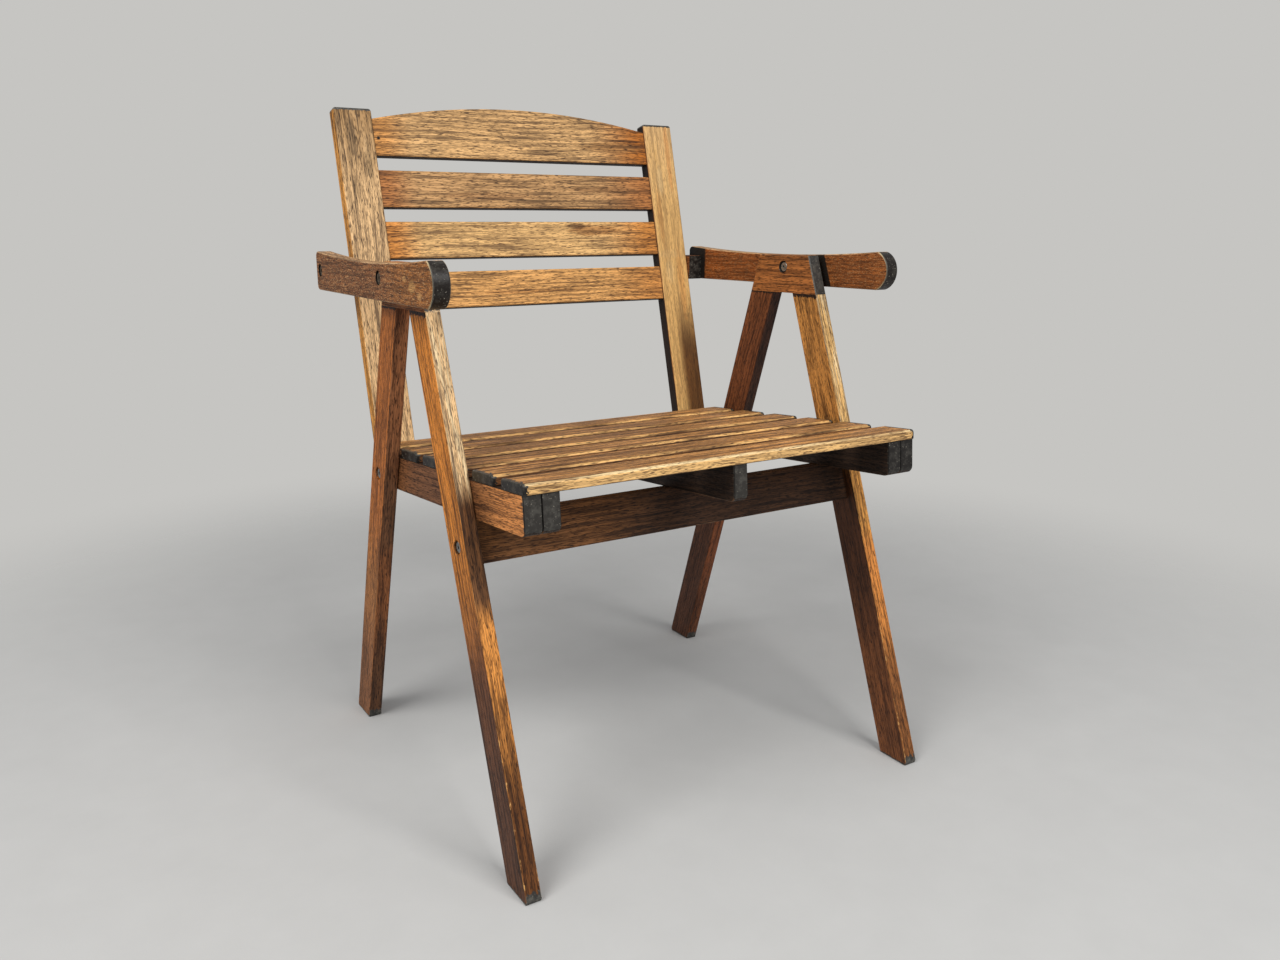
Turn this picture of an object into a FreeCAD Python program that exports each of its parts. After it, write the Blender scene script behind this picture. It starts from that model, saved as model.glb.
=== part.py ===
import FreeCAD, Part
import math
import os

# Folding teak armchair, millimetres, +Z up, the sitter looks along -Y.
# Two glued A-frames stand left and right and one stretcher ties them together.
# The seat hangs on a bolt in each rear leg and rests on the stretcher.
# The back stands on the rear ends of the inner seat rails, and each arm bolts it to an A-frame.
# The side view is drawn from the point where the centre lines of the legs would meet.

# Stock
leg_width = 46.0
leg_thickness = 18.0
edge_round = 2.0

# Side frames
frame_width = 562.0
apex_height = 715.0
leg_spread = 19.2
frame_lean = 1.05
block_height = 50.5
toe_bevel = 7.0
sole_round = 1.2

# Arms
arm_thickness = 19.0
arm_bolt_height = 621.0
arm_drop = 0.8
arm_spread = 1.15
arm_front_reach = 150.5
arm_rear_reach = 17.0
arm_waist = 40.8
arm_front_depth = 47.6
arm_rear_depth = 49.0
arm_nose = 18.5
arm_corner = 7.0
spacer_length = 32.0
spacer_depth = 35.0

# Seat
seat_slope = 5.0
seat_rail_height = 405.0
rail_depth = 41.5
rail_thickness = 20.0
centre_rail_thickness = 18.0
rail_front_reach = 260.0
rail_nose = 9.0
slat_width = 51.0
slat_thickness = 12.0
slat_gap = 20.8
slat_count = 6
slat_round = 4.0

# Back
back_recline = 14.2
back_foot_reach = 68.0
stile_width = 50.0
stile_thickness = 18.0
stile_length = 847.0
stile_round = 3.5
back_slat_width = 49.0
back_slat_gap = 18.6
back_slat_count = 3
back_slat_thickness = 13.0
back_slat_inset = 2.0
crest_drop = 60.5
crest_end_depth = 48.5
crest_rise = 22.5
back_pivot_depth = 12.0
rail_tail = 15.0
tail_step = 3.5
fold_lean = 31.5
outer_rail_gap = 26.0

# Stretcher
stretcher_depth = 52.0
stretcher_thickness = 18.0

# Fasteners
bolt_size = 6.0
head_size = 12.5
head_height = 3.5
socket_size = 4.0
socket_depth = 2.2
sleeve_size = 9.0
sleeve_length = 13.0
washer_size = 18.0
washer_thickness = 5.8
barrel_size = 10.0
barrel_length = 14.0
barrel_inset = 32.0

# Fits
turn_fit = 0.05
side_fit = 0.3
joint_fit = 0.15
frame_gap = 0.5
rail_gap = 0.5
link_play = 2.4
recess_size = 16.5
recess_depth = 5.0
tenon_depth = 14.0
tenon_shoulder = 6.0
foot_gap = 0.6

# Positions that follow from the driving sizes
outer_x = frame_width / 2
inner_x = outer_x - leg_thickness
arm_x = outer_x + washer_thickness + side_fit + washer_size / 2 * math.tan(math.radians(arm_spread))
outer_rail_x = inner_x - frame_gap - rail_thickness
inner_rail_x = outer_rail_x - rail_gap - rail_thickness
stile_x = inner_x - 3 - stile_width
tongue_x = outer_rail_x - rail_gap + side_fit
slat_x = inner_x - frame_gap
crest_bottom = stile_length - crest_drop


def side(y, z, x=0.0):
    """A point of the side view, y towards the rear and z up."""
    return FreeCAD.Vector(x, y, z)


def lean_vector(degrees_rearward, length=1.0):
    """A vector of the side view that leans this far rearward from upright."""
    angle = math.radians(degrees_rearward)
    return side(length * math.sin(angle), length * math.cos(angle))


def meet(point_a, direction_a, point_b, direction_b):
    """Where two lines of the side view cross."""
    gap = point_b - point_a
    area = direction_a.y * direction_b.z - direction_a.z * direction_b.y
    step = (gap.y * direction_b.z - gap.z * direction_b.y) / area
    return point_a + direction_a * step


def board(outline, x_start, thickness):
    """A board sawn to a side outline, from x_start outwards."""
    flat = Part.Face(Part.Wire(outline) if isinstance(outline, list) else outline)
    solid = flat.extrude(FreeCAD.Vector(thickness, 0, 0))
    solid.translate(FreeCAD.Vector(x_start, 0, 0))
    return solid


def polygon(*corners):
    return Part.makePolygon(list(corners) + [corners[0]])


def cylinder_x(radius, x_start, x_end, centre):
    """A round bar or bore across the chair."""
    start = FreeCAD.Vector(min(x_start, x_end), centre.y, centre.z)
    return Part.makeCylinder(radius, abs(x_end - x_start), start, FreeCAD.Vector(1, 0, 0))


def bored(solid, radius, centre, x_start=-frame_width, x_end=frame_width):
    """A bore across the chair, right through unless it is told where to start and end."""
    return solid.cut(cylinder_x(radius, x_start, x_end, centre))


def round_edges(solid, radius, wanted):
    """Round the edges that the test picks."""
    edges = [edge for edge in solid.Edges if wanted(edge)]
    return solid.makeFillet(radius, edges)


def edge_line(edge):
    vector = edge.lastVertex().Point - edge.firstVertex().Point
    return vector


def runs_along(edge, direction, shortest):
    """True for a straight edge along the direction and at least this long."""
    vector = edge_line(edge)
    if vector.Length < shortest:
        return False
    return abs(vector.dot(direction)) / vector.Length > 0.999


def is_outline(edge):
    """True for an edge that lies in a side face, so x is constant along it."""
    return edge.BoundBox.XLength < 0.01


def mirrored(solid):
    return solid.mirror(FreeCAD.Vector(0, 0, 0), FreeCAD.Vector(1, 0, 0))


def pair(solid):
    """The right-hand solid and its left-hand twin, for a group of equal fasteners."""
    return Part.makeCompound([solid, mirrored(solid)])


# Side view of the frames
apex = side(0, apex_height)
front_angle = leg_spread + frame_lean
rear_angle = leg_spread - frame_lean
front_down = lean_vector(front_angle, -1.0)
rear_down = lean_vector(-rear_angle, -1.0)
arm_pivot = meet(apex, lean_vector(frame_lean), side(0, arm_bolt_height), side(1, 0))
block_level = lean_vector(frame_lean + 90)
block_up = lean_vector(frame_lean)
block_below = 0.68 * block_height
block_base = arm_pivot - block_up * block_below
block_top = block_base + block_up * block_height

# Side view of the seat
seat_front = side(-math.cos(math.radians(seat_slope)), math.sin(math.radians(seat_slope)))
seat_up = side(math.sin(math.radians(seat_slope)), math.cos(math.radians(seat_slope)))
seat_datum = side(0, seat_rail_height)
rail_middle = seat_datum - seat_up * (rail_depth / 2)
seat_pivot = meet(apex, rear_down, rail_middle, seat_front)

# Side view of the back
back_up = lean_vector(back_recline)
back_rear = lean_vector(back_recline + 90)
back_datum = side(back_foot_reach, 0)
stile_middle = back_datum + back_rear * (stile_thickness / 2)
back_pivot = meet(stile_middle, back_up, seat_datum - seat_up * back_pivot_depth, seat_front)
arm_link = meet(stile_middle, back_up, arm_pivot, lean_vector(90 + arm_drop))


def leg_outline(down, width, top_point, top_direction):
    """A leg between the underside of its block and the floor."""
    across = side(down.z, -down.y) * (width / 2)
    floor = side(0, 0)
    level = side(1, 0)
    one = apex + across
    two = apex - across
    return polygon(
        meet(one, down, top_point, top_direction),
        meet(two, down, top_point, top_direction),
        meet(two, down, floor, level),
        meet(one, down, floor, level),
    )


def leg_tenon(down, grow):
    """The stub tenon on top of a leg; grow enlarges it for its mortise."""
    width = leg_width - 2 * tenon_shoulder + 2 * grow
    thickness = leg_thickness - 2 * tenon_shoulder + 2 * grow
    across = side(down.z, -down.y) * (width / 2)
    root = block_base - block_up * 2
    crown = block_base + block_up * (tenon_depth + grow)
    corners = polygon(
        meet(apex + across, down, root, block_level),
        meet(apex - across, down, root, block_level),
        meet(apex - across, down, crown, block_level),
        meet(apex + across, down, crown, block_level),
    )
    return board(corners, inner_x + (leg_thickness - thickness) / 2, thickness)


def make_leg(down):
    solid = board(leg_outline(down, leg_width, block_base, block_level), inner_x, leg_thickness)
    solid = round_edges(solid, edge_round, lambda edge: runs_along(edge, down, leg_width * 2))
    outward = -1 if down.y < 0 else 1
    half = side(down.z, -down.y) * (leg_width / 2)
    outer_line = apex + half if half.y * outward > 0 else apex - half
    toe = meet(outer_line, down, side(0, 0), side(1, 0))
    wedge = polygon(
        toe - side(outward, 0) * (toe_bevel * 0.6),
        toe - down * toe_bevel,
        toe - down * toe_bevel + side(outward * leg_width, 0),
        toe + side(outward * leg_width, -leg_width),
        toe - side(outward, 0) * (toe_bevel * 0.6) + side(0, -leg_width),
    )
    solid = solid.cut(board(wedge, inner_x - 5, leg_thickness + 10))
    solid = round_edges(solid, sole_round, lambda edge: edge.BoundBox.ZMax < 0.01)
    return solid.fuse(leg_tenon(down, 0.0)).removeSplitter()


def make_block():
    half = leg_width / 2
    front_edge = apex + side(front_down.z, -front_down.y) * half
    rear_edge = apex - side(rear_down.z, -rear_down.y) * half
    front_low = meet(front_edge, front_down, block_base, block_level)
    if front_low.y > 0:
        front_edge = apex - side(front_down.z, -front_down.y) * half
        rear_edge = apex + side(rear_down.z, -rear_down.y) * half
        front_low = meet(front_edge, front_down, block_base, block_level)
    corners = polygon(
        front_low,
        meet(rear_edge, rear_down, block_base, block_level),
        meet(rear_edge, rear_down, block_top, block_level),
        meet(front_edge, front_down, block_top, block_level),
    )
    solid = board(corners, inner_x, leg_thickness)
    base_z = block_base.z + leg_width * 0.1
    solid = round_edges(solid, edge_round, lambda edge: is_outline(edge) and edge.BoundBox.ZMax > base_z)
    for down in (front_down, rear_down):
        solid = solid.cut(leg_tenon(down, joint_fit))
    solid = bored(solid, bolt_size / 2 + turn_fit, arm_pivot)
    return sleeve_seat(solid, arm_pivot, inner_x)


def head_recess(solid, centre, x_face):
    """The counterbore that takes a bolt head, sunk inwards from an outer face."""
    return bored(solid, recess_size / 2, centre, x_face - recess_depth, x_face + 5)


def sleeve_seat(solid, centre, x_face):
    """The counterbore and the wider bore that take a sleeve nut, from an inner face outwards."""
    solid = bored(solid, recess_size / 2, centre, x_face - 5, x_face + recess_depth)
    return bored(solid, sleeve_size / 2 + turn_fit, centre, x_face, x_face + recess_depth + sleeve_length)


def hexagon(size, x_start, x_end, centre):
    """A hexagon socket across the chair, size across its flats."""
    radius = size / math.sqrt(3)
    corners = []
    for step in range(6):
        angle = math.radians(60 * step)
        corners.append(side(centre.y + radius * math.cos(angle), centre.z + radius * math.sin(angle)))
    return board(polygon(*corners), x_start, x_end - x_start)


def make_bolt(centre, x_face, x_tip, play=0.0):
    """A socket-head bolt in the recess of an outer face; play keeps its head off a piece that turns."""
    seat = x_face - recess_depth + play
    head = cylinder_x(head_size / 2, seat, seat + head_height, centre)
    crown = seat + head_height
    head = head.makeFillet(0.8, [edge for edge in head.Edges if abs(edge.BoundBox.XMin - crown) < 0.01
                                 and edge.BoundBox.XLength < 0.01])
    shank = cylinder_x(bolt_size / 2, x_tip, seat + 0.5, centre)
    solid = head.fuse(shank).removeSplitter()
    return solid.cut(hexagon(socket_size, seat + head_height - socket_depth, seat + head_height + 1, centre))


def make_sleeve_nut(centre, x_face, play=0.0):
    """A flanged sleeve nut in the recess of an inner face; play keeps it off a piece that turns."""
    seat = x_face + recess_depth - play
    head = cylinder_x(head_size / 2, seat - head_height, seat, centre)
    crown = seat - head_height
    head = head.makeFillet(0.8, [edge for edge in head.Edges if abs(edge.BoundBox.XMin - crown) < 0.01
                                 and edge.BoundBox.XLength < 0.01])
    sleeve = cylinder_x(sleeve_size / 2, seat - 0.5, seat + sleeve_length, centre)
    solid = head.fuse(sleeve).removeSplitter()
    solid = bored(solid, bolt_size / 2 + turn_fit, centre, seat, seat + sleeve_length + 1)
    return solid.cut(hexagon(socket_size, crown - 1, crown + socket_depth, centre))


def sleeve_tip(x_face):
    """How far in a bolt reaches towards the bottom of its sleeve nut."""
    return x_face + recess_depth + 1.0


def arm_profile():
    """Waisted side outline of an arm with its bulging front end."""
    front_y = arm_pivot.y - arm_front_reach
    rear_y = arm_link.y + arm_rear_reach
    waist_y = arm_pivot.y + 0.28 * (arm_link.y - arm_pivot.y)
    rise = math.tan(math.radians(arm_drop))
    bolt_drop = 0.61 * arm_waist
    rear_low = side(rear_y, arm_pivot.z - bolt_drop - rise * (rear_y - arm_pivot.y))
    front_low = side(front_y, arm_pivot.z - bolt_drop - rise * (front_y - arm_pivot.y))
    waist_low = arm_pivot.z - bolt_drop - rise * (waist_y - arm_pivot.y)
    rear_high = rear_low + side(0, arm_rear_depth)
    front_high = front_low + side(0, arm_front_depth)
    waist_high = side(waist_y, waist_low + arm_waist)
    nose = side(front_y - arm_nose, (front_low.z + front_high.z) / 2)
    return [
        Part.Arc(rear_high, waist_high, front_high).toShape(),
        Part.Arc(front_high, nose, front_low).toShape(),
        Part.makeLine(front_low, rear_low),
        Part.makeLine(rear_low, rear_high),
    ]


def spread(solid):
    """Swing an arm, drawn straight, a little outwards about its front bolt."""
    solid.rotate(FreeCAD.Vector(arm_x, arm_pivot.y, 0), FreeCAD.Vector(0, 0, 1), arm_spread)
    return solid


def arm_face(point):
    """Where the outer face of the right arm lies beside a point of the side view."""
    angle = math.radians(arm_spread)
    return arm_x + arm_thickness / math.cos(angle) + (arm_pivot.y - point.y) * math.tan(angle)


def make_arm():
    solid = board(arm_profile(), arm_x, arm_thickness)
    rear_y = arm_link.y + arm_rear_reach
    across = FreeCAD.Vector(1, 0, 0)
    solid = round_edges(solid, arm_corner, lambda edge: runs_along(edge, across, 5)
                        and edge.BoundBox.YMin > rear_y - 1)
    front_y = arm_pivot.y - arm_front_reach
    solid = round_edges(solid, arm_corner, lambda edge: runs_along(edge, across, 5)
                        and abs(edge.BoundBox.YMin - front_y) < 1)
    solid = spread(round_edges(solid, edge_round, is_outline))
    for centre in (arm_pivot, arm_link):
        solid = bored(solid, bolt_size / 2 + turn_fit, centre)
        solid = head_recess(solid, centre, arm_face(centre))
    return solid


def make_arm_spacer():
    """Packing block between the rear end of an arm and the stile."""
    stile_face = stile_x + stile_width
    whole = board(arm_profile(), stile_face, arm_x - stile_face)
    rear_y = arm_link.y + arm_rear_reach
    across = FreeCAD.Vector(1, 0, 0)
    whole = round_edges(whole, arm_corner, lambda edge: runs_along(edge, across, 5)
                        and edge.BoundBox.YMin > rear_y - 1)
    low = whole.BoundBox.ZMin
    corner = FreeCAD.Vector(stile_face, rear_y - spacer_length, low - 1)
    slab = Part.makeBox(arm_x - stile_face, spacer_length, spacer_depth + 1, corner)
    solid = spread(whole.common(slab))
    slab = Part.makeBox(stile_face, frame_width, 2 * arm_rear_depth, corner - side(frame_width / 2, 0, 0))
    slab.translate(FreeCAD.Vector(side_fit - stile_face, 0, 0))
    solid = solid.cut(slab)
    return bored(solid, bolt_size / 2 + turn_fit, arm_link)


def seat_point(reach, rise):
    """A point of the seat: reach forward along the rails from under the apex, rise above the rails."""
    return seat_datum + seat_front * reach + seat_up * rise


def make_rail(x_start, thickness, rear_reach):
    corners = polygon(
        seat_point(rail_front_reach, 0),
        seat_point(rail_front_reach, -rail_depth),
        seat_point(-rear_reach, -rail_depth),
        seat_point(-rear_reach, 0),
    )
    solid = board(corners, x_start, thickness)
    across = FreeCAD.Vector(1, 0, 0)
    low_front = seat_point(rail_front_reach, -rail_depth)
    solid = round_edges(solid, rail_nose, lambda edge: runs_along(edge, across, 5)
                        and abs(edge.BoundBox.YMin - low_front.y) < 0.1)
    return round_edges(solid, 1.2, lambda edge: runs_along(edge, seat_front, 100)
                       and (edge.CenterOfMass - seat_datum).dot(seat_up) < -rail_depth / 2)


back_pivot_reach = -(back_pivot - seat_datum).dot(seat_front)


def make_outer_rail():
    solid = make_rail(outer_rail_x, rail_thickness, back_pivot_reach - outer_rail_gap)
    return bored(solid, bolt_size / 2 + turn_fit, seat_pivot)


def make_inner_rail():
    solid = make_rail(inner_rail_x, rail_thickness, back_pivot_reach + rail_tail)
    across = FreeCAD.Vector(1, 0, 0)
    tail = seat_point(-back_pivot_reach - rail_tail, 0).y - 5
    step = slat_start(slat_count) - slat_width - slat_round
    end = -back_pivot_reach - rail_tail - 5
    solid = solid.cut(board(polygon(seat_point(step, 5), seat_point(step, -tail_step),
                                    seat_point(end, -tail_step), seat_point(end, 5)),
                            inner_rail_x - 5, rail_thickness + 10))
    solid = round_edges(solid, 8.0, lambda edge: runs_along(edge, across, 5) and edge.BoundBox.YMin > tail)
    solid = bored(solid, bolt_size / 2 + turn_fit, seat_pivot)
    solid = sleeve_seat(solid, seat_pivot, inner_rail_x)
    solid = bored(solid, bolt_size / 2 + turn_fit, back_pivot)
    return sleeve_seat(solid, back_pivot, inner_rail_x)


def make_centre_rail():
    return make_rail(-centre_rail_thickness / 2, centre_rail_thickness, back_pivot_reach - outer_rail_gap)


def slat_start(number):
    """Forward reach of a seat slat's front edge; slat 1 is the front one."""
    return rail_front_reach + 2.0 - (number - 1) * (slat_width + slat_gap)


def make_seat_slat(number):
    reach = slat_start(number)
    corners = polygon(
        seat_point(reach, 0),
        seat_point(reach, slat_thickness),
        seat_point(reach - slat_width, slat_thickness),
        seat_point(reach - slat_width, 0),
    )
    solid = board(corners, -slat_x, 2 * slat_x)
    across = FreeCAD.Vector(1, 0, 0)
    middle = seat_point(reach - slat_width / 2, slat_thickness / 2)

    def top_edge(edge):
        offset = edge.CenterOfMass - middle
        return runs_along(edge, across, 100) and offset.dot(seat_up) > 0

    def low_edge(edge):
        offset = edge.CenterOfMass - middle
        return runs_along(edge, across, 100) and offset.dot(seat_up) < 0

    solid = round_edges(solid, slat_round, top_edge)
    solid = round_edges(solid, 1.5, low_edge)
    rim = seat_point(0, slat_thickness)
    return round_edges(solid, 1.5, lambda edge: is_outline(edge)
                       and (edge.CenterOfMass - rim).dot(seat_up) > -slat_round - 0.1)


def lean_back(solid):
    """Recline a piece that was drawn upright, with its front face in the plane y = 0."""
    solid.rotate(FreeCAD.Vector(0, 0, 0), FreeCAD.Vector(1, 0, 0), -back_recline)
    solid.translate(back_datum)
    return solid


def along_stile(point):
    """How far up the stile's front face a point of the side view lies."""
    return (point - back_datum).dot(back_up)


def back_slat_foot(number):
    """Lower edge of a back slat, counted downwards from the crest rail."""
    return crest_bottom - number * (back_slat_width + back_slat_gap)


def slat_tenon(foot, depth, grow):
    """Stub tenon at the right end of a back slat; grow enlarges it for its mortise."""
    shoulder = 8.0
    low = foot + shoulder - grow
    front = back_slat_inset + 3.0 - grow
    return Part.makeBox(
        tenon_depth + 2 + grow,
        back_slat_thickness - 6.0 + 2 * grow,
        depth - 2 * shoulder + 2 * grow,
        FreeCAD.Vector(stile_x - 2, front, low),
    )


# The notch over the inner rail is just high enough for its front edge to pass over the stepped-down
# tail of the rail while the back folds
fold_angle = math.radians(fold_lean)
tail_height = back_pivot_depth - tail_step
foot_shoulder = (tail_height + foot_gap + stile_thickness / 2 * math.sin(fold_angle)) / math.cos(fold_angle)


def make_stile():
    pivot_height = along_stile(back_pivot)
    shoulder = pivot_height + foot_shoulder
    foot = pivot_height - 13.0
    solid = Part.makeBox(stile_width, stile_thickness, stile_length - foot,
                         FreeCAD.Vector(stile_x, 0, foot))
    rear = FreeCAD.Vector(0, 1, 0)
    solid = round_edges(solid, stile_round, lambda edge: runs_along(edge, rear, 5)
                        and edge.BoundBox.ZMin > stile_length - 1)
    up = FreeCAD.Vector(0, 0, 1)
    solid = round_edges(solid, edge_round, lambda edge: runs_along(edge, up, 100))
    notch = Part.makeBox(tongue_x - stile_x + 10, stile_thickness + 20, shoulder - foot + 10,
                         FreeCAD.Vector(stile_x - 10, -10, foot - 10))
    solid = solid.cut(notch)
    across = FreeCAD.Vector(1, 0, 0)
    solid = round_edges(solid, stile_thickness * 0.4, lambda edge: runs_along(edge, across, 5)
                        and edge.BoundBox.ZMax < foot + 0.1)
    solid = solid.cut(slat_tenon(crest_bottom, crest_end_depth, joint_fit))
    for number in range(1, back_slat_count + 1):
        solid = solid.cut(slat_tenon(back_slat_foot(number), back_slat_width, joint_fit))
    solid = lean_back(solid)
    stile_face = stile_x + stile_width
    solid = bored(solid, bolt_size / 2 + turn_fit, back_pivot)
    solid = head_recess(solid, back_pivot, stile_face)
    return bored(solid, bolt_size / 2 + link_play, arm_link, stile_face - stile_width * 0.6, stile_face + 5)


def make_back_slat(number):
    foot = back_slat_foot(number)
    solid = Part.makeBox(2 * stile_x, back_slat_thickness, back_slat_width,
                         FreeCAD.Vector(-stile_x, back_slat_inset, foot))
    across = FreeCAD.Vector(1, 0, 0)
    solid = round_edges(solid, edge_round, lambda edge: runs_along(edge, across, 100))
    tenon = slat_tenon(foot, back_slat_width, 0.0)
    return lean_back(solid.fuse([tenon, mirrored(tenon)]).removeSplitter())


def make_crest_rail():
    low = crest_bottom
    high = low + crest_end_depth
    inset = back_slat_inset
    left_low = FreeCAD.Vector(-stile_x, inset, low)
    right_low = FreeCAD.Vector(stile_x, inset, low)
    left_high = FreeCAD.Vector(-stile_x, inset, high)
    right_high = FreeCAD.Vector(stile_x, inset, high)
    crown = FreeCAD.Vector(0, inset, high + crest_rise)
    outline = Part.Wire([
        Part.makeLine(left_low, right_low),
        Part.makeLine(right_low, right_high),
        Part.Arc(right_high, crown, left_high).toShape(),
        Part.makeLine(left_high, left_low),
    ])
    solid = Part.Face(outline).extrude(FreeCAD.Vector(0, back_slat_thickness, 0))
    solid = round_edges(solid, edge_round, lambda edge: edge.BoundBox.XLength > stile_x)
    tenon = slat_tenon(low, crest_end_depth, 0.0)
    return lean_back(solid.fuse([tenon, mirrored(tenon)]).removeSplitter())


# The stretcher stands on the centre line of the front legs
stretcher_top = meet(apex, front_down, seat_datum - seat_up * (rail_depth + side_fit), seat_front)
stretcher_middle = stretcher_top + front_down * (0.58 * stretcher_depth)
barrel_x = inner_x - barrel_inset


def make_stretcher():
    across = side(front_down.z, -front_down.y) * (stretcher_thickness / 2)
    bottom = stretcher_top + front_down * stretcher_depth
    base = side(-front_down.z, front_down.y)
    corners = polygon(
        meet(apex + across, front_down, stretcher_top, seat_front),
        meet(apex - across, front_down, stretcher_top, seat_front),
        meet(apex - across, front_down, bottom, base),
        meet(apex + across, front_down, bottom, base),
    )
    solid = board(corners, -inner_x, 2 * inner_x)
    along = FreeCAD.Vector(1, 0, 0)
    solid = round_edges(solid, 1.2, lambda edge: runs_along(edge, along, 100))
    for sign in (1, -1):
        tip = sign * (barrel_x - barrel_size)
        solid = bored(solid, bolt_size / 2 + turn_fit, stretcher_middle, tip, sign * (inner_x + 5))
        solid = solid.cut(barrel(sign, joint_fit))
    return solid


def barrel(sign, grow):
    """A cross dowel let into the rear face of the stretcher; grow gives the hole that takes it."""
    rearward = side(-front_down.z, front_down.y)
    start = side(stretcher_middle.y, stretcher_middle.z, sign * barrel_x)
    start = start - rearward * (barrel_length / 2 + grow)
    length = barrel_length + (grow + 10 if grow else 0)
    return Part.makeCylinder(barrel_size / 2 + grow, length, start, rearward)


def make_barrels():
    solids = []
    for sign in (1, -1):
        solid = barrel(sign, 0.0)
        solids.append(bored(solid, bolt_size / 2 + turn_fit, stretcher_middle))
    return Part.makeCompound(solids)


def make_washer():
    disc = cylinder_x(washer_size / 2, outer_x, outer_x + washer_thickness, arm_pivot)
    return bored(disc, bolt_size / 2 + turn_fit, arm_pivot)


def bored_leg(solid, centre):
    solid = bored(solid, bolt_size / 2 + turn_fit, centre)
    return head_recess(solid, centre, outer_x)


def build():
    """Every node of the chair, by name."""
    front_leg = bored_leg(make_leg(front_down), stretcher_middle)
    rear_leg = bored_leg(make_leg(rear_down), seat_pivot)
    block = make_block()
    arm = make_arm()
    spacer = make_arm_spacer()
    stile = make_stile()
    outer_rail = make_outer_rail()
    inner_rail = make_inner_rail()
    stile_face = stile_x + stile_width
    arm_rear_bolt = make_bolt(arm_link, arm_face(arm_link), stile_face - stile_width * 0.5)
    nodes = {
        "front_leg": front_leg,
        "rear_leg": rear_leg,
        "leg_block": block,
        "arm": arm,
        "arm_spacer": spacer,
        "arm_rear_bolt": arm_rear_bolt,
        "back_stile": stile,
        "outer_seat_rail": outer_rail,
        "inner_seat_rail": inner_rail,
    }
    both = {}
    for name, solid in nodes.items():
        both[name + "_right"] = solid
        both[name + "_left"] = mirrored(solid)
    both["front_stretcher"] = make_stretcher()
    both["centre_seat_rail"] = make_centre_rail()
    both["crest_rail"] = make_crest_rail()
    for number in range(1, back_slat_count + 1):
        both["back_slat_%d" % number] = make_back_slat(number)
    for number in range(1, slat_count + 1):
        both["seat_slat_%d" % number] = make_seat_slat(number)
    barrel_tip = barrel_x - barrel_size * 0.6
    both["stretcher_bolts"] = pair(make_bolt(stretcher_middle, outer_x, barrel_tip))
    both["stretcher_cross_dowels"] = make_barrels()
    both["arm_pivot_bolts"] = pair(make_bolt(arm_pivot, arm_face(arm_pivot), sleeve_tip(inner_x), side_fit))
    both["arm_pivot_sleeve_nuts"] = pair(make_sleeve_nut(arm_pivot, inner_x))
    both["arm_pivot_washers"] = pair(make_washer())
    both["seat_pivot_bolts"] = pair(make_bolt(seat_pivot, outer_x, sleeve_tip(inner_rail_x)))
    both["seat_pivot_sleeve_nuts"] = pair(make_sleeve_nut(seat_pivot, inner_rail_x, side_fit))
    both["back_pivot_bolts"] = pair(make_bolt(back_pivot, stile_face, sleeve_tip(inner_rail_x), side_fit))
    both["back_pivot_sleeve_nuts"] = pair(make_sleeve_nut(back_pivot, inner_rail_x))
    return both


# Set the chair on its own origin, under the middle of its depth, and write it out
nodes = build()
extent = Part.makeCompound(list(nodes.values())).optimalBoundingBox(False, False)
shift = -(extent.YMin + extent.YMax) / 2
os.makedirs("parts", exist_ok=True)
for name, solid in nodes.items():
    solid.translate(side(shift, 0))
    solid.exportStep("parts/" + name + ".step")
    print(name, "solids", len(solid.Solids), "volume cm3", round(solid.Volume / 1000, 2), solid.isValid())

for name, point in (("arm_pivot", arm_pivot), ("arm_link", arm_link), ("back_pivot", back_pivot),
                    ("seat_pivot", seat_pivot)):
    print(name, round(point.y + shift, 3), round(point.z, 3))
print("overall", round(extent.XLength, 1), round(extent.YLength, 1), round(extent.ZLength, 1))
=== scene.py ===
# %% [markdown]
# This lesson dresses a folding teak armchair for a studio picture. The boards and bolts come
# from the construction model, already in place and in metres. What is left for Blender is what
# the eye reads as old teak: grain, pores, worn edges, weathered faces and sealed black end grain.
# We start by loading the model.

# %% Load the chair
import math

import bpy
from mathutils import Matrix, Vector


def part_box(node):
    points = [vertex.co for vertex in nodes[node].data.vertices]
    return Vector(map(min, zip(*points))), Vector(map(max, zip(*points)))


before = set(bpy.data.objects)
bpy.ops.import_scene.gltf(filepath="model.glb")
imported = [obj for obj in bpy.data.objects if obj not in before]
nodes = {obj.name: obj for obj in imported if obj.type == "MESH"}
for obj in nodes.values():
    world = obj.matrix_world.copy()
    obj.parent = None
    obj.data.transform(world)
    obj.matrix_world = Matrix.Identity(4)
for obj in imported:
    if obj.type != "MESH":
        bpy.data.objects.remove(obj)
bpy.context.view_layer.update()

# %% [markdown]
# The camera comes first, because every later choice is judged through it. The photograph was
# taken from the front left, a little above the seat, with a lens near 30 mm. A camera could be
# aimed with a constraint, but plain numbers for place, heading, tilt and roll are easier to read.
# Blender cameras look along their own -Z, so the matrix holds the right, up and backward axes.

# %% Camera
IMAGE_WIDTH = 1280
FOCAL_PIXELS = 1061.49
SENSOR_WIDTH = 36
CAMERA_PLACE = Vector((-0.69327, -1.15115, 0.69274))
HEADING, TILT, ROLL = 0.56535, -0.24744, 0.00673  # radians


def camera_matrix(place, heading, tilt, roll):
    """Place and axes of a camera that looks where these three angles say."""
    ahead = Vector((math.sin(heading) * math.cos(tilt), math.cos(heading) * math.cos(tilt), math.sin(tilt)))
    level = Vector((math.cos(heading), -math.sin(heading), 0))
    right = math.cos(roll) * level + math.sin(roll) * level.cross(ahead)
    up = right.cross(ahead)
    turn = Matrix((right, up, -ahead)).transposed()
    return Matrix.Translation(place) @ turn.to_4x4()


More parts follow.
